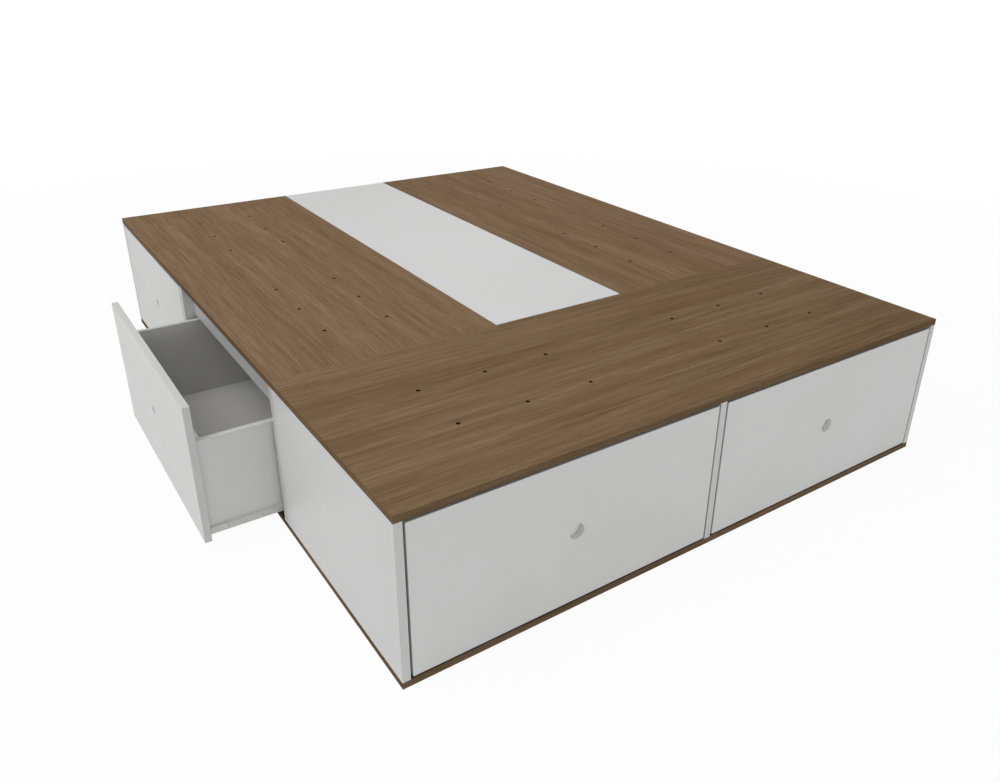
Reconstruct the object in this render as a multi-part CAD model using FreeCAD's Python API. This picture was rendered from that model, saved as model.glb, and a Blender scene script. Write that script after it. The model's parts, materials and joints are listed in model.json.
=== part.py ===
import FreeCAD, Part
import os

# Storage bed: three drawer cabinets in a U round a lift-out centre panel.
# Millimetres. X runs across the bed, Y from the foot to the head, Z up.
# The origin is on the floor, at the middle of the foot end.

# Whole bed
bed_width = 1600.0
bed_length = 2103.0
bed_height = 395.0
foot_cabinet_depth = 595.0
side_cabinet_depth = 592.0

# Boards
flat_board = 16.0          # tops, bases and the centre panel
upright_board = 18.0       # end panels, partitions and the board at the head
back_board = 16.0
front_board = 16.0

# Drawer fronts in their openings
front_side_gap = 5.0
front_bottom_gap = 5.0
front_top_gap = 6.0
grip_diameter = 36.0
near_drawer_opening = 186.0    # how far the left drawer next to the foot stands open

# Rail across each bay, under the top
rail_height = 89.0
rail_board = 18.0
rail_behind_front = 12.0

# Drawer boxes
box_board = 13.0
box_side_clearance = 13.0
box_under_rail = 7.6
box_rear_gap = 10.0
box_bottom_board = 8.0
box_bottom_rise = 10.0
box_groove = 5.0

# Roller runners
sheet = 1.2
runner_above_base = 18.7
runner_height = 21.3
runner_foot = 12.0
runner_setback = 2.0
runner_side_gap = 2.3
runner_lip_gap = 1.0
cabinet_runner_rear_gap = 8.0
roller_diameter = 15.0
roller_width = 6.0
roller_rim = 0.6
roller_touch = 0.3
roller_end_gap = 0.2
roller_from_end = 15.0
axle_diameter = 5.0
axle_clearance = 0.05
axle_head_diameter = 8.0
axle_head = 0.9

# Small holes in the tops, six over each drawer
vent_diameter = 10.0
vent_pitch = 171.0
foot_vent_shift = 20.0     # from the middle of the bay, towards the partition
near_vent_shift = -9.0
vents_across = 3
vents_deep = 2

# Centre panel and what it lies on
panel_gap = 1.0
batten_width = 20.0
batten_height = 40.0

# Bolts that tie the side cabinets to the foot cabinet
bolt_diameter = 8.0
bolt_clearance = 0.1
bolt_head_diameter = 15.0
bolt_head = 3.0
bolt_depth_shares = (0.25, 0.8)

# One overrun for every cut
cut = 5.0

# Heights worked out from the sizes above
under_top = bed_height - flat_board
front_low = flat_board + front_bottom_gap
front_high = under_top - front_top_gap
front_middle = (front_low + front_high) / 2
rail_low = under_top - rail_height
runner_low = flat_board + runner_above_base
runner_high = runner_low + runner_height
box_low = runner_low + sheet
box_high = rail_low - box_under_rail
track_low = runner_high - sheet - roller_touch - roller_diameter - runner_lip_gap
front_axle_height = runner_high - sheet - roller_touch - roller_diameter / 2
rear_axle_height = track_low + roller_touch + roller_diameter / 2

# A cabinet is drawn with A along its fronts, D into its depth and Z up.
# The turn and the corner then stand it in its place in the bed.
side_cabinet_width = bed_length - foot_cabinet_depth
half_width = bed_width / 2
seam = foot_cabinet_depth      # Y where the side cabinets meet the foot cabinet
cabinets = {
    "foot": {
        "width": bed_width, "depth": foot_cabinet_depth, "turn": 0,
        "corner": (-half_width, 0), "drawers": ("foot_left", "foot_right"),
        "vent_shifts": (foot_vent_shift, foot_vent_shift), "openings": (0, 0),
    },
    "left": {
        "width": side_cabinet_width, "depth": side_cabinet_depth, "turn": -90,
        "corner": (-half_width, bed_length), "drawers": ("left_far", "left_near"),
        "vent_shifts": (0, near_vent_shift), "openings": (0, near_drawer_opening),
    },
    "right": {
        "width": side_cabinet_width, "depth": side_cabinet_depth, "turn": 90,
        "corner": (half_width, seam), "drawers": ("right_near", "right_far"),
        "vent_shifts": (near_vent_shift, 0), "openings": (0, 0),
    },
}


def block(a, d, z):
    # a box from three pairs of low and high
    return Part.makeBox(a[1] - a[0], d[1] - d[0], z[1] - z[0], FreeCAD.Vector(a[0], d[0], z[0]))


def rod(diameter, a, d, z):
    # a round bar along A between the pair a
    start = FreeCAD.Vector(a[0], d, z)
    return Part.makeCylinder(diameter / 2, a[1] - a[0], start, FreeCAD.Vector(1, 0, 0))


def stand(shape, cabinet, pull=0):
    # from the cabinet's own frame to the bed's, pulled out along its depth
    moved = shape.copy()
    moved.translate(FreeCAD.Vector(0, -pull, 0))
    moved.rotate(FreeCAD.Vector(0, 0, 0), FreeCAD.Vector(0, 0, 1), cabinet["turn"])
    moved.translate(FreeCAD.Vector(cabinet["corner"][0], cabinet["corner"][1], 0))
    return moved


def save(name, shapes):
    shape = shapes[0] if len(shapes) == 1 else Part.makeCompound(shapes)
    shape.exportStep("parts/" + name + ".step")


def bays(cabinet):
    # the clear width of each bay, as pairs along A
    middle = cabinet["width"] / 2
    half_partition = upright_board / 2
    return (
        (upright_board, middle - half_partition),
        (middle + half_partition, cabinet["width"] - upright_board),
    )


def both_sides(bay, shape):
    # a piece drawn at the bay's low side, and its mirror image at the other
    centre = FreeCAD.Vector((bay[0] + bay[1]) / 2, 0, 0)
    return [shape, shape.mirror(centre, FreeCAD.Vector(1, 0, 0))]


def bolt_places():
    # X of each tie bolt, with the same places mirrored to the right
    left = [side_cabinet_depth * share - half_width for share in bolt_depth_shares]
    return left + [-x for x in left]


def along_y(diameter, x, y, z):
    start = FreeCAD.Vector(x, y[0], z)
    return Part.makeCylinder(diameter / 2, y[1] - y[0], start, FreeCAD.Vector(0, 1, 0))


def drill_for_bolts(shape):
    # the tie bolts' holes through a board that is already in its place
    reach = (seam - back_board - cut, seam + upright_board + cut)
    size = bolt_diameter + 2 * bolt_clearance
    for x in bolt_places():
        shape = shape.cut(along_y(size, x, reach, bed_height / 2))
    return shape


def flat_boards(name, cabinet):
    width, depth = cabinet["width"], cabinet["depth"]
    base = block((0, width), (0, depth), (0, flat_board))
    top = block((0, width), (0, depth), (under_top, bed_height))
    signs = (1, -1)
    for bay, shift, sign in zip(bays(cabinet), cabinet["vent_shifts"], signs):
        middle = (bay[0] + bay[1]) / 2 + sign * shift
        for i in range(vents_across):
            for j in range(vents_deep):
                a = middle + (i - (vents_across - 1) / 2) * vent_pitch
                d = depth / 2 + (j - (vents_deep - 1) / 2) * vent_pitch
                start = FreeCAD.Vector(a, d, under_top - cut)
                top = top.cut(Part.makeCylinder(vent_diameter / 2, flat_board + 2 * cut, start))
    save(name + "_base", [stand(base, cabinet)])
    save(name + "_top", [stand(top, cabinet)])


def upright_boards(name, cabinet):
    # two end panels over the whole depth, and the partition in front of the back
    width, depth = cabinet["width"], cabinet["depth"]
    first, second = bays(cabinet)
    height = (flat_board, under_top)
    inner = (0, depth - back_board)
    low_end = block((0, first[0]), (0, depth), height)
    partition = block((first[1], second[0]), inner, height)
    high_end = block((second[1], width), (0, depth), height)
    boards = [stand(piece, cabinet) for piece in (low_end, partition, high_end)]
    save(name + "_uprights", [drill_for_bolts(piece) for piece in boards])
    back = block((first[0], second[1]), (depth - back_board, depth), height)
    save(name + "_back", [drill_for_bolts(stand(back, cabinet))])


def rails(cabinet):
    d = front_board + rail_behind_front
    z = (rail_low, under_top)
    return [stand(block(bay, (d, d + rail_board), z), cabinet) for bay in bays(cabinet)]


def roller_span():
    # along A from the upright's face, in the middle of the clearance beside the box
    middle = box_side_clearance / 2
    return (middle - roller_width / 2, middle + roller_width / 2)


def roller(d, z):
    # one roller at the low side of a bay that starts at A = 0
    low, high = roller_span()
    body = rod(roller_diameter, (low, high), d, z)
    rims = [edge for edge in body.Edges if edge.Closed]
    body = body.makeChamfer(roller_rim, rims)
    bore = axle_diameter + 2 * axle_clearance
    return body.cut(rod(bore, (low - cut, high + cut), d, z))


def channel(cabinet):
    # the fixed runner: a channel that opens towards the drawer, with the front axle
    front = front_board + runner_setback
    rear = cabinet["depth"] - back_board - cabinet_runner_rear_gap
    reach = box_side_clearance - sheet - runner_side_gap
    low = track_low - sheet
    high = runner_high + runner_lip_gap + sheet
    outline = [
        (0, low), (reach, low), (reach, low + sheet), (sheet, low + sheet),
        (sheet, high - sheet), (reach, high - sheet), (reach, high), (0, high),
    ]
    body = extruded(outline, front, rear)
    d = front + roller_from_end
    start, end = roller_span()
    shoulder = rod(axle_head_diameter, (0, start - roller_end_gap), d, front_axle_height)
    axle = rod(axle_diameter, (0, end + roller_end_gap + axle_head), d, front_axle_height)
    head_at = (end + roller_end_gap, end + roller_end_gap + axle_head)
    head = rod(axle_head_diameter, head_at, d, front_axle_height)
    return body.fuse([shoulder, axle, head]).removeSplitter()


def extruded(outline, front, rear):
    points = [FreeCAD.Vector(a, front, z) for a, z in outline]
    face = Part.Face(Part.makePolygon(points + points[:1]))
    return face.extrude(FreeCAD.Vector(0, rear - front, 0))


def drawer_runner(rear):
    # the moving runner: its foot is under the box side, its lip runs on the front roller
    wall = box_side_clearance
    lip = sheet + runner_side_gap
    low, high = runner_low, runner_high
    outline = [
        (wall + runner_foot, low), (wall - sheet, low), (wall - sheet, high - sheet),
        (lip, high - sheet), (lip, high), (wall, high), (wall, low + sheet),
        (wall + runner_foot, low + sheet),
    ]
    body = extruded(outline, front_board + runner_setback, rear)
    d = rear - roller_from_end
    start, end = roller_span()
    web = wall - sheet / 2
    head_at = (start - roller_end_gap - axle_head, start - roller_end_gap)
    shoulder = rod(axle_head_diameter, (end + roller_end_gap, web), d, rear_axle_height)
    axle = rod(axle_diameter, (head_at[0], web), d, rear_axle_height)
    head = rod(axle_head_diameter, head_at, d, rear_axle_height)
    return body.fuse([shoulder, axle, head]).removeSplitter()


def cabinet_runners(cabinet):
    pieces = []
    for bay in bays(cabinet):
        one = channel(cabinet)
        one.translate(FreeCAD.Vector(bay[0], 0, 0))
        pieces += both_sides(bay, one)
    return [stand(piece, cabinet) for piece in pieces]


def drawer_front(bay):
    a = (bay[0] + front_side_gap, bay[1] - front_side_gap)
    front = block(a, (0, front_board), (front_low, front_high))
    start = FreeCAD.Vector((a[0] + a[1]) / 2, -cut, front_middle)
    depth = front_board + 2 * cut
    grip = Part.makeCylinder(grip_diameter / 2, depth, start, FreeCAD.Vector(0, 1, 0))
    return front.cut(grip)


def drawer_box(bay, rear):
    # two sides, two end boards between them, and the bottom in their grooves
    outer = (bay[0] + box_side_clearance, bay[1] - box_side_clearance)
    inner = (outer[0] + box_board, outer[1] - box_board)
    front = front_board
    depth = (front + box_board, rear - box_board)
    z = (box_low, box_high)
    floor_low = box_low + box_bottom_rise
    floor = (floor_low, floor_low + box_bottom_board)
    bottom = block(
        (inner[0] - box_groove, inner[1] + box_groove),
        (depth[0] - box_groove, depth[1] + box_groove),
        floor,
    )
    side = block((outer[0], inner[0]), (front, rear), z).cut(bottom)
    sides = both_sides(bay, side)
    ends = [
        block(inner, (front, depth[0]), z).cut(bottom),
        block(inner, (depth[1], rear), z).cut(bottom),
    ]
    return sides, ends, bottom


def drawer(name, cabinet, bay, pull):
    rear = cabinet["depth"] - back_board - box_rear_gap
    sides, ends, bottom = drawer_box(bay, rear)
    runner = drawer_runner(rear)
    rear_roller = roller(rear - roller_from_end, rear_axle_height)
    front_roller = roller(front_board + runner_setback + roller_from_end, front_axle_height)
    for piece in (runner, rear_roller, front_roller):
        piece.translate(FreeCAD.Vector(bay[0], 0, 0))
    moving = {
        "_front": [drawer_front(bay)],
        "_box_sides": sides,
        "_box_ends": ends,
        "_box_bottom": [bottom],
        "_runners": both_sides(bay, runner),
        "_rear_rollers": both_sides(bay, rear_roller),
    }
    for ending, pieces in moving.items():
        save(name + ending, [stand(piece, cabinet, pull) for piece in pieces])
    fixed = both_sides(bay, front_roller)
    save(name + "_front_rollers", [stand(piece, cabinet) for piece in fixed])


def tie_bolts():
    y = (seam - back_board, seam + upright_board)
    z = bed_height / 2
    bolts = []
    for x in bolt_places():
        shank = along_y(bolt_diameter, x, y, z)
        near = along_y(bolt_head_diameter, x, (y[0] - bolt_head, y[0]), z)
        far = along_y(bolt_head_diameter, x, (y[1], y[1] + bolt_head), z)
        bolts.append(shank.fuse([near, far]).removeSplitter())
    return bolts


def centre():
    # the panel lies on two battens and on the board that closes the head end
    half = half_width - side_cabinet_depth
    board_start = bed_length - upright_board
    panel = block(
        (panel_gap - half, half - panel_gap),
        (seam + panel_gap, bed_length),
        (under_top, bed_height),
    )
    save("centre_panel", [panel])
    head = block((-half, half), (board_start, bed_length), (0, under_top))
    save("head_board", [head])
    z = (under_top - batten_height, under_top)
    batten = block((-half, batten_width - half), (seam, board_start), z)
    save("panel_battens", both_sides((-half, half), batten))


def main():
    os.makedirs("parts", exist_ok=True)
    all_rails = []
    all_channels = []
    for name, cabinet in cabinets.items():
        flat_boards(name, cabinet)
        upright_boards(name, cabinet)
        all_rails += rails(cabinet)
        all_channels += cabinet_runners(cabinet)
        places = zip(cabinet["drawers"], bays(cabinet), cabinet["openings"])
        for drawer_name, bay, pull in places:
            drawer(drawer_name, cabinet, bay, pull)
    save("top_rails", all_rails)
    save("cabinet_runners", all_channels)
    save("tie_bolts", tie_bolts())
    centre()


main()
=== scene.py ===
import json
import math

import bmesh
import bpy
from mathutils import Matrix, Vector

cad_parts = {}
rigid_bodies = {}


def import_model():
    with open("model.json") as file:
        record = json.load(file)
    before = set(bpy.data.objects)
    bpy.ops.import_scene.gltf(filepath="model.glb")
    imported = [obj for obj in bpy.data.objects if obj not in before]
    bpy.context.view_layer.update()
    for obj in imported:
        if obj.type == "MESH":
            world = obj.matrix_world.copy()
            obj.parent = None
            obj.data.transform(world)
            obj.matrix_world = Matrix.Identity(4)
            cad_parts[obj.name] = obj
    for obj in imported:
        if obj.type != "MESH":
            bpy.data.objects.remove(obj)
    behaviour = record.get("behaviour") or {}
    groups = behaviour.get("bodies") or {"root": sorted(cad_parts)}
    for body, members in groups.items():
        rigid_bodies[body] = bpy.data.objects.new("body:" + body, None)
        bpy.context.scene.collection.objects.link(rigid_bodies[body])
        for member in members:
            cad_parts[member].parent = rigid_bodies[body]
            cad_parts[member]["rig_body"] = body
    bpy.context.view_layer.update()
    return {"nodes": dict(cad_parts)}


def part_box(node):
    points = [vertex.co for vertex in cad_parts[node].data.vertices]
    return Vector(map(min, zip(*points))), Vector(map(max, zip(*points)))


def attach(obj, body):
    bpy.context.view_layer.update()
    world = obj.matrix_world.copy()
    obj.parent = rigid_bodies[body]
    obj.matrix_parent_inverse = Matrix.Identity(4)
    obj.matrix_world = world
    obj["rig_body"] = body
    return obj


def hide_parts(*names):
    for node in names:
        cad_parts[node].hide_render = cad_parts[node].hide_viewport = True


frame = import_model()
nodes = frame["nodes"]
print("frame loaded,", len(nodes), "nodes")

drawers = ("foot_left", "foot_right", "left_near", "left_far", "right_near", "right_far")
cabinets = ("foot", "left", "right")


def rgb(hexColour):  # sRGB hex to a linear colour
    parts = [int(hexColour[i:i + 2], 16) / 255 for i in (1, 3, 5)]
    linear = [p / 12.92 if p < 0.04045 else ((p + 0.055) / 1.055) ** 2.4 for p in parts]
    return (*linear, 1.0)


# Materials

def newMaterial(name, **sockets):
    mat = bpy.data.materials.new(name)
    mat.use_nodes = True
    shader = mat.node_tree.nodes["Principled BSDF"]
    for socket, value in sockets.items():
        shader.inputs[socket.replace("_", " ")].default_value = value
    return mat, mat.node_tree, shader


def addNode(tree, kind, **values):
    made = tree.nodes.new(kind)
    for name, value in values.items():
        if name in made.inputs:
            made.inputs[name].default_value = value
        else:
            setattr(made, name, value)
    return made


noiseMiddle = 0.5              # every noise swings round this value


def addNoise(tree, size, detail=2.0, roughness=0.5, start=(0, 0, 0), place=None):
    # noise whose grains measure about size, in metres along x, y and z
    place = place or addNode(tree, "ShaderNodeTexCoord").outputs["Object"]
    stretch = addNode(tree, "ShaderNodeMapping", Location=start, Scale=[1 / s for s in size])
    noise = addNode(tree, "ShaderNodeTexNoise", Scale=1.0, Detail=detail, Roughness=roughness)
    tree.links.new(place, stretch.inputs["Vector"])
    tree.links.new(stretch.outputs["Vector"], noise.inputs["Vector"])
    return noise.outputs["Fac"]


def addRamp(tree, source, stops):
    ramp = addNode(tree, "ShaderNodeValToRGB")
    ramp.color_ramp.elements[0].position, ramp.color_ramp.elements[0].color = stops[0]
    ramp.color_ramp.elements[1].position, ramp.color_ramp.elements[1].color = stops[-1]
    for place, colour in stops[1:-1]:
        ramp.color_ramp.elements.new(place).color = colour
    tree.links.new(source, ramp.inputs["Fac"])
    return ramp.outputs["Color"]


def addMath(tree, kind, a, b):
    step = addNode(tree, "ShaderNodeMath", operation=kind)
    for socket, value in zip(step.inputs, (a, b)):
        if isinstance(value, (int, float)):
            socket.default_value = value
        else:
            tree.links.new(value, socket)
    return step.outputs["Value"]


def addMix(tree, factor, low, high):  # low and high are colours or links
    mix = addNode(tree, "ShaderNodeMix", data_type="RGBA")
    tree.links.new(factor, mix.inputs["Factor"])
    for socket, value in ((mix.inputs[6], low), (mix.inputs[7], high)):
        if isinstance(value, tuple):
            socket.default_value = value
        else:
            tree.links.new(value, socket)
    return mix.outputs[2]


def addRange(tree, source, low, high):
    spread = addNode(tree, "ShaderNodeMapRange")
    spread.inputs["To Min"].default_value = low
    spread.inputs["To Max"].default_value = high
    tree.links.new(source, spread.inputs["Value"])
    return spread.outputs["Result"]


def addBump(tree, shader, height, depth, strength=1.0):
    bump = addNode(tree, "ShaderNodeBump", Strength=strength, Distance=depth)
    tree.links.new(height, bump.inputs["Height"])
    tree.links.new(bump.outputs["Normal"], shader.inputs["Normal"])


lacquer = {
    "tone": rgb("#d5d5d5"), "toneLow": rgb("#d1d1d0"),
    "cloudSize": 0.35, "cloudDetail": 3.0, "cloudStops": (0.3, 0.7),       # soft patches of the coat
    "peelSize": 0.0016, "peelDetail": 1.0, "peelDepth": 0.00004,       # orange peel
    "rubSize": 0.05, "rubDetail": 4.0, "rubNoise": 0.6, "roughness": (0.38, 0.5),
    "specular": 0.35,
}


def whiteLacquer(name, values):
    mat, tree, shader = newMaterial(name, Specular_IOR_Level=values["specular"])
    clouds = addNoise(tree, (values["cloudSize"],) * 3, values["cloudDetail"])
    tones = zip(values["cloudStops"], (values["toneLow"], values["tone"]))
    tree.links.new(addRamp(tree, clouds, list(tones)), shader.inputs["Base Color"])
    rub = addNoise(tree, (values["rubSize"],) * 3, values["rubDetail"], values["rubNoise"])
    tree.links.new(addRange(tree, rub, *values["roughness"]), shader.inputs["Roughness"])
    peel = addNoise(tree, (values["peelSize"],) * 3, values["peelDetail"])
    addBump(tree, shader, peel, values["peelDepth"])
    return mat


wood = {
    "warm": ("#6e533b", "#7e634b", "#8e735b"),      # dark, middle and light of the reddish figure
    "olive": ("#6b573b", "#7b674b", "#8b775b"),
    "pore": rgb("#513f2d"),
    "layers": (  # length along the grain, width across it, share of the figure
        (1.2, 0.060, 0.27),
        (0.45, 0.014, 0.16),
        (0.20, 0.0056, 0.34),
        (0.09, 0.0027, 0.23),
    ),
    "spread": 0.12,            # how far the figure swings either way
    "waver": (0.45, 0.09), "waverDepth": 0.007,        # the grain wanders a little across its length
    "tints": (0.6, 0.03), "tintRange": (0.1, 0.9),      # patches between reddish and olive
    "pores": (0.022, 0.0007),  # length and width
    "poreDetail": 1.0, "poreShare": 0.37, "poreBorder": 0.06, "poreShade": 0.6,
    "noise": 0.55, "roughness": (0.6, 0.74), "specular": 0.01,
    "grainDepth": 0.00005, "relief": 0.5,
}


def woodGrain(name, along, start, values):
    # straight-grained veneer, with the grain along x (0) or y (1)
    mat, tree, shader = newMaterial(name, Specular_IOR_Level=values["specular"])

    def layer(length, width, detail=2.0, place=None):
        size = [width] * 3
        size[along] = length
        return addNoise(tree, size, detail, values["noise"], start, place)

    swing = addMath(tree, "SUBTRACT", layer(*values["waver"]), noiseMiddle)
    drift = addMath(tree, "MULTIPLY", swing, values["waverDepth"])
    across = addNode(tree, "ShaderNodeCombineXYZ")
    tree.links.new(drift, across.inputs["Y" if along == 0 else "X"])
    wander = addNode(tree, "ShaderNodeVectorMath", operation="ADD")
    tree.links.new(addNode(tree, "ShaderNodeTexCoord").outputs["Object"], wander.inputs[0])
    tree.links.new(across.outputs["Vector"], wander.inputs[1])
    bent = wander.outputs["Vector"]

    figure = 0.0
    for length, width, share in values["layers"]:
        streak = layer(length, width, place=bent)
        figure = addMath(tree, "ADD", addMath(tree, "MULTIPLY", streak, share), figure)
    stops = (noiseMiddle - values["spread"], noiseMiddle, noiseMiddle + values["spread"])
    tones = [addRamp(tree, figure, list(zip(stops, map(rgb, values[tone])))) for tone in ("warm", "olive")]
    tints = addRange(tree, layer(*values["tints"]), *values["tintRange"])
    specks = layer(*values["pores"], values["poreDetail"], bent)
    share = values["poreShare"]
    pores = addRamp(tree, specks, ((share - values["poreBorder"], (1, 1, 1, 1)), (share, (0, 0, 0, 1))))
    shade = addMath(tree, "MULTIPLY", pores, values["poreShade"])
    colour = addMix(tree, shade, addMix(tree, tints, *tones), values["pore"])
    tree.links.new(colour, shader.inputs["Base Color"])
    tree.links.new(addRange(tree, streak, *values["roughness"]), shader.inputs["Roughness"])
    height = addMath(tree, "SUBTRACT", streak, pores)
    addBump(tree, shader, height, values["grainDepth"], values["relief"])
    return mat


coat = {
    "tone": rgb("#d4d4d3"), "toneLow": rgb("#c9c9c8"),
    "grain": (0.002, 0.002, 0.002), "depth": 0.00003, "roughness": (0.3, 0.42),
}
plastic = {
    "tone": rgb("#c9c8c3"), "toneLow": rgb("#b9b8b2"),
    "grain": (0.003, 0.003, 0.003), "depth": 0.00002, "roughness": (0.45, 0.6),
}
# board core inside the tops' holes: dark brown for the core, made darker still as painted shade of the deep
# holes
coreAndShade = {
    "tone": rgb("#553f28"), "toneLow": rgb("#40301e"),
    "grain": (0.0012, 0.0012, 0.0012), "depth": 0.00005, "roughness": (0.7, 0.85), "specular": 0.1,
}
zinc = {
    "tone": rgb("#c4c6c9"), "toneLow": rgb("#a3a6ab"),
    "grain": (0.004, 0.004, 0.004), "depth": 0.00002, "roughness": (0.28, 0.5), "metal": 1.0,
}
battenWood = {
    "tone": rgb("#d3b483"), "toneLow": rgb("#b08a58"),
    "grain": (0.006, 0.6, 0.006), "depth": 0.0001, "roughness": (0.6, 0.75),
    "noise": 0.6, "relief": 0.5,
}
mottleDetail = 3.0
mottleStops = (0.35, 0.65)     # where the darker tone ends and the lighter one is full


def mottled(name, values):
    # colour, gloss and relief that all follow one noise
    metal, specular = values.get("metal", 0.0), values.get("specular", 0.5)
    mat, tree, shader = newMaterial(name, Metallic=metal, Specular_IOR_Level=specular)
    grains = addNoise(tree, values["grain"], mottleDetail, values.get("noise", 0.5))
    tones = zip(mottleStops, (values["toneLow"], values["tone"]))
    tree.links.new(addRamp(tree, grains, list(tones)), shader.inputs["Base Color"])
    tree.links.new(addRange(tree, grains, *values["roughness"]), shader.inputs["Roughness"])
    addBump(tree, shader, grains, values["depth"], values.get("relief", 1.0))
    return mat


sideTones = {
    "warm": ("#745840", "#846850", "#947860"),
    "olive": ("#715b40", "#816b50", "#917b60"),
}
# darker tones for the edge bands and the bases, picked by the way each face is turned and darkest toward
# the foot: painted shade
sideBandShaded = {
    "warm": ("#60472f", "#70583f", "#80684f"),
    "olive": ("#5e4a31", "#6e5a41", "#7e6a51"),
    "pore": rgb("#4b3a28"),
}
footBandShaded = {
    "warm": ("#54432f", "#64513b", "#725d48"),
    "olive": ("#544530", "#63523c", "#716047"),
    "pore": rgb("#453727"),
}
footBaseShaded = {
    "warm": ("#5c4a37", "#6d5945", "#7d6655"),
    "olive": ("#5c4c38", "#6c5a47", "#7c6a53"),
    "pore": rgb("#4b3d2e"),
}
woodAcross = woodGrain("woodAcross", 0, (0.0, 0.0, 0.0), wood)
woodLeft = woodGrain("woodLeft", 1, (3.1, 1.7, 0.4), dict(wood, **sideTones))
woodRight = woodGrain("woodRight", 1, (7.3, 4.9, 2.2), dict(wood, **sideTones))
# edge band and base materials, toned by the way they face: painted shade
shadedBandAcross = woodGrain("shadedBandAcross", 0, (5.2, 2.3, 1.1), dict(wood, **footBandShaded))
shadedBaseAcross = woodGrain("shadedBaseAcross", 0, (6.6, 3.8, 0.9), dict(wood, **footBaseShaded))
shadedBandDeep = woodGrain("shadedBandDeep", 1, (8.4, 0.6, 3.7), dict(wood, **sideBandShaded))
boardCoreAndShade = mottled("boardCoreAndShade", coreAndShade)
white = whiteLacquer("whiteLacquer", lacquer)
edgeWhite = whiteLacquer("edgeWhite", dict(lacquer, tone=rgb("#cacaca"), toneLow=rgb("#c6c6c5")))
# darker white on the drawer fronts' edges: painted shade of the narrow gaps round the fronts
shadedFrontEdge = whiteLacquer("shadedFrontEdge", dict(lacquer, tone=rgb("#c9c9c9"), toneLow=rgb("#c5c5c4")))
# lighter white inside the finger holes and on the drawer boxes' end boards: painted light that lifts the
# shade in the holes
litBoreWhite = whiteLacquer("litBoreWhite", dict(lacquer, tone=rgb("#e6e6e6"), toneLow=rgb("#e0e0df")))
boxCoat = dict(lacquer, tone=rgb("#d0d0cf"), toneLow=rgb("#cbcbca"), roughness=(0.42, 0.55))
drawerWhite = whiteLacquer("drawerWhite", boxCoat)
runnerPaint = mottled("runnerPaint", coat)
rollerPlastic = mottled("rollerPlastic", plastic)
zincSteel = mottled("zincSteel", zinc)
pine = mottled("pine", battenWood)
print("materials made:", len(bpy.data.materials))


# Boards: a merged copy of the CAD board with its sharp edges softened

soft = {
    "weld": 0.00001,
    "flat": math.radians(2), "sharp": math.radians(40), "shade": math.radians(50),
    "segments": 2, "rimSegments": 3,
    "joint": 0.001,            # fine joint between the side cabinets and the foot cabinet
    "broad": 0.7,              # a face looks one way where its slope is more than this
    "border": 0.003,           # how far in from the outline a board's edge reaches
    "rim": 0.0018,             # round of a finger hole's rim
    "rimEdge": 0.02,           # the most that an edge of a rim measures
}
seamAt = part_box("left_uprights")[0][1]         # where the side cabinets meet the foot cabinet


def bevelled(bm, edgeList, radius, segments):
    bmesh.ops.bevel(bm, geom=edgeList, offset=radius, offset_type="OFFSET", segments=segments,
                    profile=0.5, affect="EDGES", material=-1, clamp_overlap=True)


def softened(node, radius, slotName, *materials, sortFaces=None, rim=None, parting=False):
    bm = bmesh.new()
    bm.from_mesh(nodes[node].data)
    if parting:
        for vert in bm.verts:  # the side cabinets leave a fine joint at the foot cabinet
            if abs(vert.co.y - seamAt) < soft["weld"]:
                vert.co.y += soft["joint"]
    bmesh.ops.remove_doubles(bm, verts=bm.verts, dist=soft["weld"])
    bmesh.ops.dissolve_limit(bm, angle_limit=soft["flat"], verts=bm.verts, edges=bm.edges)
    bm.normal_update()
    outer = [e for e in bm.edges if e.is_manifold and e.calc_face_angle_signed() > soft["sharp"]]
    if rim:  # the short edges round a hole get a wider round of their own
        holeRim = [e for e in outer if e.calc_length() < soft["rimEdge"]]
        outer = [e for e in outer if e not in holeRim]
        bevelled(bm, holeRim, rim, soft["rimSegments"])
    bevelled(bm, [e for e in outer if e.is_valid], radius, soft["segments"])
    if sortFaces:  # gives each face the number of its material
        bm.normal_update()
        low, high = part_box(node)
        for face in bm.faces:
            face.material_index = sortFaces(face, low, high)
    return finished(node + "_finish", bm, node, slotName, *materials)


def finished(name, bm, node, slotName, *materials):
    mesh = bpy.data.meshes.new(name)
    bm.to_mesh(mesh)
    bm.free()
    mesh.shade_smooth()
    mesh.set_sharp_from_angle(angle=soft["shade"])
    obj = bpy.data.objects.new(name, mesh)
    bpy.context.scene.collection.objects.link(obj)
    for mat in materials:
        mesh.materials.append(mat)
    obj.modifiers.new("evenNormals", "WEIGHTED_NORMAL").keep_sharp = True
    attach(obj, nodes[node]["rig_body"])
    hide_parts(node)
    return obj


def woodFaces(grain):
    # 0 the two broad faces, 1 the band along the grain, 2 the band on the ends, 3 the inside of a hole,
    # whose dark core tone is partly painted shade
    def number(face, low, high):
        middle = face.calc_center_median()
        if abs(face.normal.z) > soft["broad"]:
            return 0
        toBorder = min(min(middle[i] - low[i], high[i] - middle[i]) for i in (0, 1))
        if toBorder > soft["border"]:
            return 3
        return 2 if abs(face.normal[grain]) > soft["broad"] else 1
    return number


def frontFaces(face, low, high):
    # 0 the broad faces of a drawer front, 1 its edges, darker with painted shade, 2 the inside of its
    # finger hole, lighter with painted light
    middle = face.calc_center_median()
    deep = 0 if high[0] - low[0] < high[1] - low[1] else 1
    if abs(face.normal[deep]) > soft["broad"]:
        return 0
    across = 1 - deep
    toBorder = min(min(middle[i] - low[i], high[i] - middle[i]) for i in (across, 2))
    return 1 if toBorder < soft["border"] else 2


def frontEdges(deep):
    # 0 the broad faces of an upright, 1 its front and rear edges
    def number(face, low, high):
        return int(abs(face.normal[deep]) > soft["broad"])
    return number


edges = {  # how far each kind of board is rounded at its edges
    "wood": 0.0006, "upright": 0.0005, "lacquer": 0.0009,
    "drawer": 0.0008, "thin": 0.0004, "steel": 0.0004,
}

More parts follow.
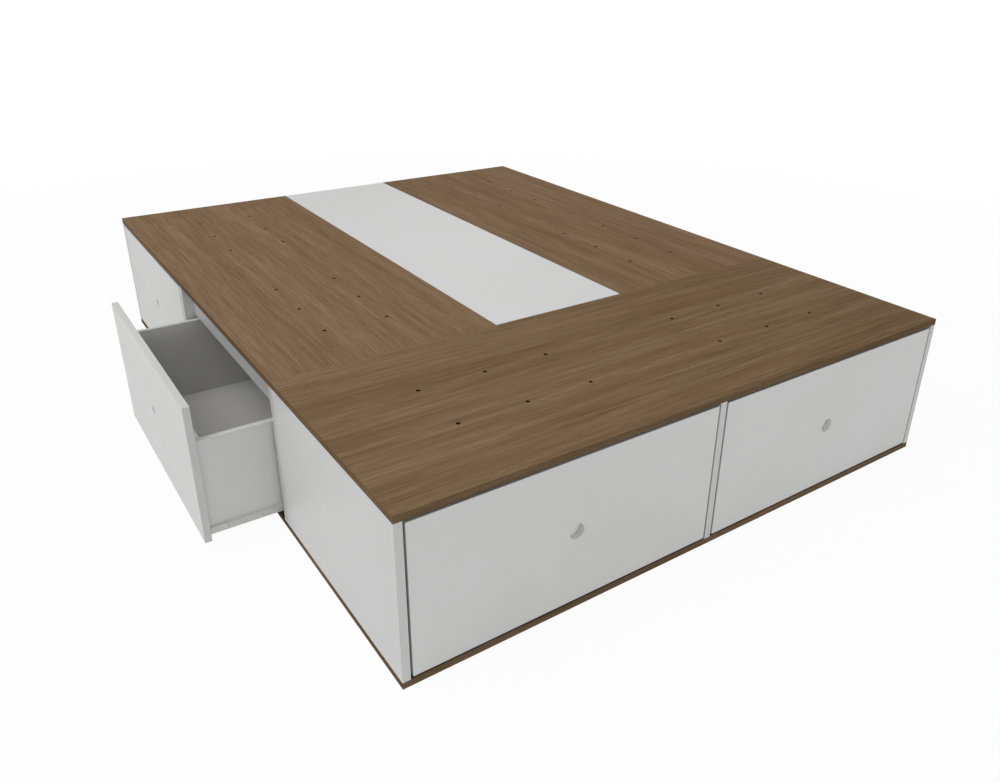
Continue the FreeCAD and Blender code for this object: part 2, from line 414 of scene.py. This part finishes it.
woodBoards = {  # veneer of the top, its long band, the base, band on both boards' ends, grain; bands and bases in painted-shade tones
    "foot": (woodAcross, shadedBandAcross, shadedBaseAcross, shadedBandDeep, 0),
    "left": (woodLeft, shadedBandDeep, shadedBandDeep, shadedBandAcross, 1),
    "right": (woodRight, shadedBandDeep, shadedBandDeep, shadedBandAcross, 1),
}
for cabinet in cabinets:
    veneer, topBand, baseBand, endBand, grain = woodBoards[cabinet]
    for place, broad, longBand in (("top", veneer, topBand), ("base", baseBand, baseBand)):
        softened(f"{cabinet}_{place}", edges["wood"], "wood_top", broad, longBand, endBand, boardCoreAndShade,
                 sortFaces=woodFaces(grain))
    softened(f"{cabinet}_uprights", edges["upright"], "white_lacquer", white, edgeWhite,
             sortFaces=frontEdges(1 - grain), parting=cabinet != "foot")
    softened(f"{cabinet}_back", edges["thin"], "white_lacquer", white)
softened("top_rails", edges["lacquer"], "white_lacquer", white)
softened("head_board", edges["lacquer"], "white_lacquer", white)
softened("centre_panel", edges["lacquer"], "white_lacquer", white)
softened("panel_battens", edges["thin"], "batten_wood", pine)
softened("cabinet_runners", edges["steel"], "runner_white", runnerPaint)
softened("tie_bolts", edges["steel"], "bolt_steel", zincSteel)
for drawer in drawers:
    softened(f"{drawer}_front", edges["lacquer"], "white_lacquer", white, shadedFrontEdge, litBoreWhite,
             sortFaces=frontFaces, rim=soft["rim"])
    softened(f"{drawer}_box_sides", edges["drawer"], "drawer_board", drawerWhite)
    # the end boards form the floor of each finger hole, so they take the lighter painted-light white too
    softened(f"{drawer}_box_ends", edges["thin"], "drawer_board", litBoreWhite)
    softened(f"{drawer}_box_bottom", edges["thin"], "drawer_bottom", drawerWhite)
    softened(f"{drawer}_runners", edges["steel"], "runner_white", runnerPaint)
    softened(f"{drawer}_rear_rollers", edges["thin"], "roller_plastic", rollerPlastic)
    softened(f"{drawer}_front_rollers", edges["thin"], "roller_plastic", rollerPlastic)
print("boards and runners finished")


# Screws and cam fittings, small steel heads that stand on a board

fasteners = {  # head: radius, rise and round; cross: length of an arm, half its width, its depth
    "pan": {
        "head": 0.004, "rise": 0.0022, "round": 0.0007,
        "arm": 0.0021, "slot": 0.0006, "recess": 0.0011,
    },
    "flat": {
        "head": 0.0035, "rise": 0.0006, "round": 0.0002,
        "arm": 0.0019, "slot": 0.0005, "recess": 0.0004,
    },
    "cam": {
        "head": 0.0075, "rise": 0.0004, "round": 0.0002,
        "arm": 0.0042, "slot": 0.0009, "recess": 0.0003,
    },
}
crossCorners = 16              # points round a head, which its cross needs
crossInset = 0.2               # flat border round the cross, as a share of the head's radius
crossTurn = math.radians(20)


def headShape(name):
    values = fasteners[name]
    head, rise = values["head"], values["rise"]
    bm = bmesh.new()
    bmesh.ops.create_cone(bm, cap_ends=True, segments=crossCorners, radius1=head, radius2=head,
                          depth=rise, matrix=Matrix.Translation((0, 0, rise / 2)))
    top = max(bm.faces, key=lambda face: face.calc_center_median().z)
    bevelled(bm, list(top.edges), values["round"], soft["segments"])
    top = max(bm.faces, key=lambda face: face.calc_center_median().z)
    bmesh.ops.inset_individual(bm, faces=[top], thickness=head * crossInset)
    arm, slot = values["arm"], values["slot"]
    outline = [(arm, 0), (arm, slot), (slot, slot), (slot, arm)]
    corners = sorted(top.verts, key=lambda vert: math.atan2(vert.co.y, vert.co.x) % math.tau)
    for i, vert in enumerate(corners):
        x, y = outline[i % len(outline)]
        for turn in range(i // len(outline)):
            x, y = -y, x
        vert.co.x, vert.co.y = x, y
    bmesh.ops.inset_individual(bm, faces=[top], thickness=0.0, depth=-values["recess"])
    bmesh.ops.rotate(bm, verts=bm.verts, matrix=Matrix.Rotation(crossTurn, 3, "Z"))
    mesh = bpy.data.meshes.new(name + "Head")
    bm.to_mesh(mesh)
    bm.free()
    return mesh


heads = {name: headShape(name) for name in fasteners}


def addHeads(name, kind, places, node):
    # places: pairs of the point a head stands on and the way it faces
    bm = bmesh.new()
    for point, facing in places:
        known = set(bm.verts)
        bm.from_mesh(heads[kind])
        turn = Vector(facing).to_track_quat("Z", "Y").to_matrix().to_4x4()
        fresh = [vert for vert in bm.verts if vert not in known]
        bmesh.ops.transform(bm, matrix=Matrix.Translation(point) @ turn, verts=fresh)
    mesh = bpy.data.meshes.new(name)
    bm.to_mesh(mesh)
    bm.free()
    mesh.shade_smooth()
    mesh.set_sharp_from_angle(angle=soft["shade"])
    obj = bpy.data.objects.new(name, mesh)
    bpy.context.scene.collection.objects.link(obj)
    mesh.materials.append(zincSteel)
    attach(obj, nodes[node]["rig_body"])


# axis along the fronts, axis into the depth, way the fronts face
facings = {"foot": (0, 1, -1), "left": (1, 0, -1), "right": (1, 0, 1)}


def spots(cabinet, node, inset, depths, heights, inward):
    # the same spots at both ends of a node, a distance inset from its ends
    along, deep, front = facings[cabinet]
    low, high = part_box(node)
    found = []
    for end in (-1, 1):
        facing = Vector((0, 0, 0))
        facing[along] = -end if inward else end
        for depth in depths:
            for height in heights:
                point = Vector((0, 0, low[2] + height))
                point[along] = low[along] + inset if end < 0 else high[along] - inset
                point[deep] = low[deep] + depth if front < 0 else high[deep] - depth
                found.append((point, facing))
    return found


screwing = {  # distances from the ends, the front and the underside of the node that carries a row
    "front": {"inset": 0.055, "depth": 0.013, "heights": (0.055, 0.195)},
    "runner": {"inset": 0.0094, "depths": (0.04, 0.24, 0.44), "height": 0.0105},
    "channel": {"inset": -0.0023, "depths": (0.0675, 0.2675, 0.4375), "height": 0.0082},
    "cams": {"end": 0.018, "middle": 0.009, "depths": (0.075, 0.29, 0.5), "height": 0.329},
    "batten": {"inset": 0.02, "height": 0.02, "count": 5},
}

for drawer in drawers:
    cabinet = drawer.split("_")[0]
    deep, front = facings[cabinet][1:]
    inwards = Vector((0, 0, 0))
    inwards[deep] = -front
    row = screwing["front"]
    found = spots(cabinet, drawer + "_box_ends", row["inset"], (row["depth"],), row["heights"], True)
    places = [(spot[0], inwards) for spot in found]
    addHeads(drawer + "_front_screws", "pan", places, drawer + "_front")
    row = screwing["runner"]
    places = spots(cabinet, drawer + "_runners", row["inset"], row["depths"], (row["height"],), False)
    addHeads(drawer + "_runner_screws", "flat", places, drawer + "_front")
    row = screwing["channel"]
    places = spots(cabinet, drawer + "_front_rollers", row["inset"], row["depths"], (row["height"],), True)
    addHeads(drawer + "_channel_screws", "flat", places, "cabinet_runners")

row = screwing["cams"]
for cabinet in cabinets:
    along = facings[cabinet][0]
    node = cabinet + "_uprights"
    low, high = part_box(node)
    half = (high[along] - low[along]) / 2
    places = spots(cabinet, node, row["end"], row["depths"], (row["height"],), True)
    places += spots(cabinet, node, half - row["middle"], row["depths"], (row["height"],), False)
    addHeads(cabinet + "_cams", "cam", places, node)

row = screwing["batten"]
low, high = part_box("panel_battens")
reach = high[1] - low[1]
steps = [reach * (i + 0.5) / row["count"] for i in range(row["count"])]
places = spots("foot", "panel_battens", row["inset"], steps, (row["height"],), True)
addHeads("batten_screws", "pan", places, "panel_battens")
print("screws and cams set")


# Studio: pale floor, white surroundings, soft lamps

studio = {
    "floorSize": 60.0, "floorTone": (0.8, 0.8, 0.8, 1.0), "floorRoughness": 0.9,
    "middle": (0.0, 1.05, 0.0),
    "whiteNear": 0.955, "nearReach": 1.9,      # share of plain white in the floor, and up to which distance
    "whiteFar": 1.0, "farReach": 4.0,
    "underBed": 0.01,          # how far the unlit floor of the well reaches under the cabinets
    "sky": 0.52,
    "lamps": (  # name, place, aims at, width, strength in watts
        ("keyLamp", (-2.3, 1.0, 3.4), (0.0, 1.0, 0.3), 2.6, 55.5),
        ("frontLamp", (-1.0, -4.6, 0.35), (0.0, 0.0, 0.2), 0.7, 27.2),
        ("sideLamp", (-4.6, 1.2, 0.35), (-0.8, 1.0, 0.2), 0.7, 7.6),
        ("footLamp", (1.8, -4.2, 0.9), (0.1, 0.2, 0.25), 2.0, 17.5),
        ("rearLamp", (2.6, 4.6, 2.6), (0.3, 1.4, 0.2), 2.6, 12.4),
    ),
}


def addFloor():
    mesh = bpy.data.meshes.new("studioFloor")
    bm = bmesh.new()
    bmesh.ops.create_grid(bm, x_segments=1, y_segments=1, size=studio["floorSize"])
    bm.to_mesh(mesh)
    bm.free()
    floor = bpy.data.objects.new("studioFloor", mesh)
    bpy.context.scene.collection.objects.link(floor)
    mat, tree, shader = newMaterial("studioFloor", Base_Color=studio["floorTone"],
                                    Roughness=studio["floorRoughness"])
    glow = addNode(tree, "ShaderNodeEmission", Color=(1, 1, 1, 1), Strength=1.0)
    mix = addNode(tree, "ShaderNodeMixShader")
    tree.links.new(addMath(tree, "MULTIPLY", seenDirectly(tree), whiteShare(tree)), mix.inputs["Fac"])
    tree.links.new(shader.outputs["BSDF"], mix.inputs[1])
    tree.links.new(glow.outputs["Emission"], mix.inputs[2])
    tree.links.new(mix.outputs["Shader"], tree.nodes["Material Output"].inputs["Surface"])
    mesh.materials.append(mat)


def whiteShare(tree):
    # the floor keeps its shadow near the bed and fades to white away from it
    place = addNode(tree, "ShaderNodeTexCoord").outputs["Object"]
    away = addNode(tree, "ShaderNodeVectorMath", operation="DISTANCE")
    away.inputs[1].default_value = studio["middle"]
    tree.links.new(place, away.inputs[0])
    share = addRange(tree, away.outputs["Value"], studio["whiteNear"], studio["whiteFar"])
    share.node.inputs["From Min"].default_value = studio["nearReach"]
    share.node.inputs["From Max"].default_value = studio["farReach"]
    return addMath(tree, "MULTIPLY", share, outsideWell(tree, place))


def outsideWell(tree, place):
    # 0 on the floor under the lift-out panel, as far as the head board, 1 elsewhere
    start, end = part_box("centre_panel")
    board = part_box("head_board")[0]
    corner = addNode(tree, "ShaderNodeSeparateXYZ")
    tree.links.new(place, corner.inputs["Vector"])
    inside = 1.0
    for axis, low, high in (("X", start[0], end[0]), ("Y", start[1], board[1])):
        aside = addMath(tree, "SUBTRACT", corner.outputs[axis], (low + high) / 2)
        half = (high - low) / 2 + studio["underBed"]
        within = addMath(tree, "LESS_THAN", addMath(tree, "ABSOLUTE", aside, 0.0), half)
        inside = addMath(tree, "MULTIPLY", within, inside)
    return addMath(tree, "SUBTRACT", 1.0, inside)


def seenDirectly(tree):  # 1 for camera, glossy and transmission rays
    path = addNode(tree, "ShaderNodeLightPath")
    either = addMath(tree, "MAXIMUM", path.outputs["Is Camera Ray"], path.outputs["Is Glossy Ray"])
    return addMath(tree, "MAXIMUM", either, path.outputs["Is Transmission Ray"])


def addSky():
    world = bpy.data.worlds.new("studioSky")
    world.use_nodes = True
    tree = world.node_tree
    strength = addRange(tree, seenDirectly(tree), studio["sky"], 1.0)
    tree.nodes["Background"].inputs["Color"].default_value = (1, 1, 1, 1)
    tree.links.new(strength, tree.nodes["Background"].inputs["Strength"])
    bpy.context.scene.world = world


def addLamps():
    for name, place, aim, width, watts in studio["lamps"]:
        data = bpy.data.lights.new(name, "AREA")
        data.shape = "DISK"
        data.size = width
        data.energy = watts
        lamp = bpy.data.objects.new(name, data)
        lamp.location = place
        lamp.rotation_euler = (Vector(aim) - Vector(place)).to_track_quat("-Z", "Y").to_euler()
        bpy.context.scene.collection.objects.link(lamp)


camera = {  # the photo's angle, in metres, degrees and millimetres
    "place": (-1.2958, -1.0905, 1.2535),
    "turn": (64.779, -0.900, -34.639),
    "lens": 30.627,
    "sensor": 36.0,
    "shift": (-0.0262, -0.0353),
}


def addCamera():
    data = bpy.data.cameras.new("photoCamera")
    data.sensor_fit = "HORIZONTAL"
    data.sensor_width = camera["sensor"]
    data.lens = camera["lens"]
    data.shift_x, data.shift_y = camera["shift"]
    obj = bpy.data.objects.new("photoCamera", data)
    obj.location = camera["place"]
    obj.rotation_euler = [math.radians(a) for a in camera["turn"]]
    bpy.context.scene.collection.objects.link(obj)
    bpy.context.scene.camera = obj


addFloor()
addSky()
addLamps()
addCamera()
bpy.context.scene.view_settings.view_transform = "Standard"
print("studio ready")
